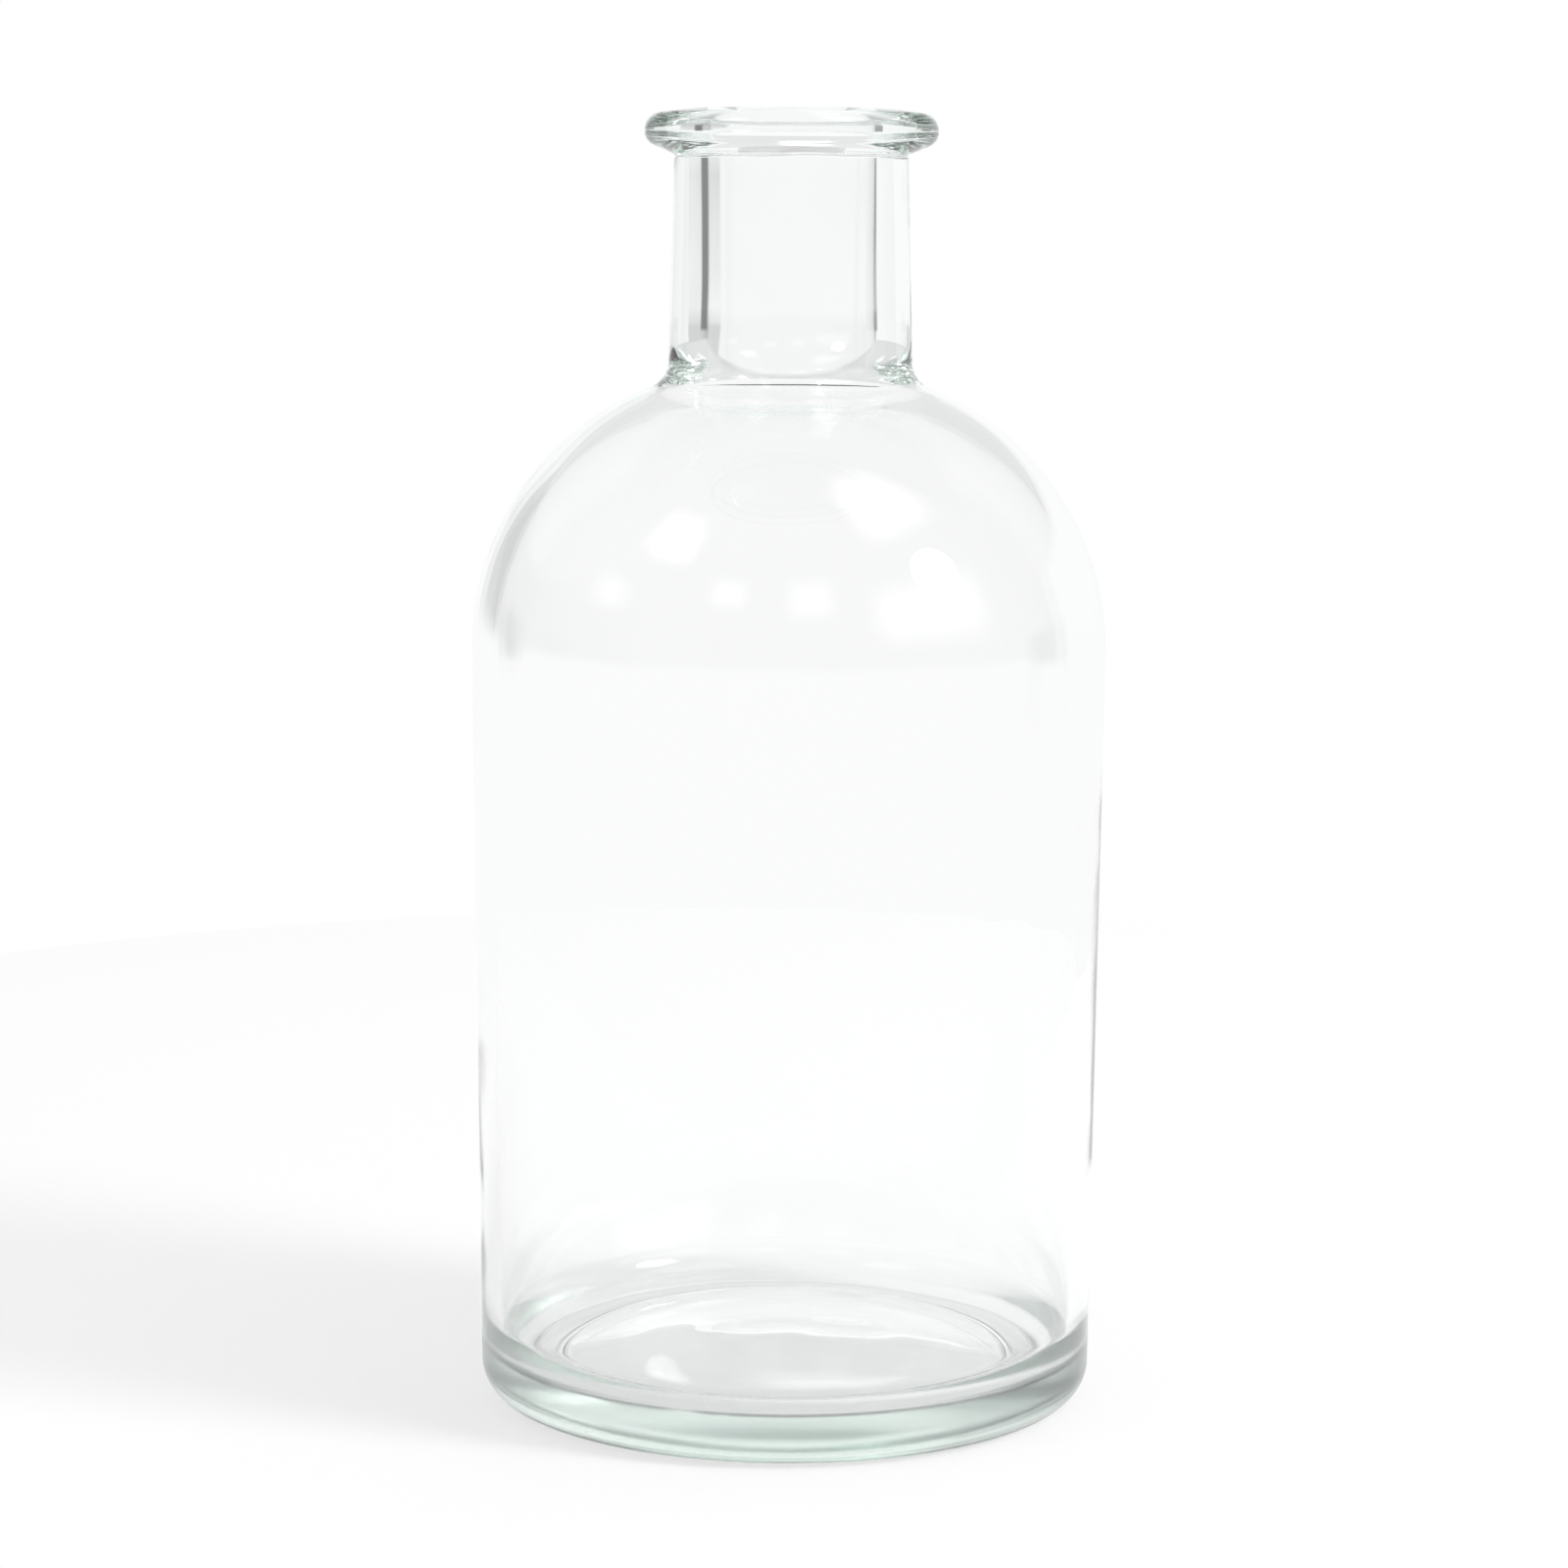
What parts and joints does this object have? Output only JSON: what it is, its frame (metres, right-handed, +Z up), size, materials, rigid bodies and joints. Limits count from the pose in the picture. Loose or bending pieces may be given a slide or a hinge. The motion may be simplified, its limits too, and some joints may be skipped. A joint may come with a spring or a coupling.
{
  "type": "bud vase",
  "caption": "Clear glass bud vase in the form of a round-shouldered bottle with a tall narrow neck, a rolled lip and a thick base.",
  "frame": {"origin": "centre of the plane that the vase stands on", "axes": "+Z up along the axis of the vase, towards its mouth; X and Y lie in the standing plane"},
  "size_m": [0.0668, 0.0668, 0.1363],
  "materials": {
    "clear_glass": "fire polished, clear with a faint green tint where the glass is thick"
  },
  "bodies": {
    "root": {"glass_bottle": "clear_glass"}
  },
  "joints": []
}
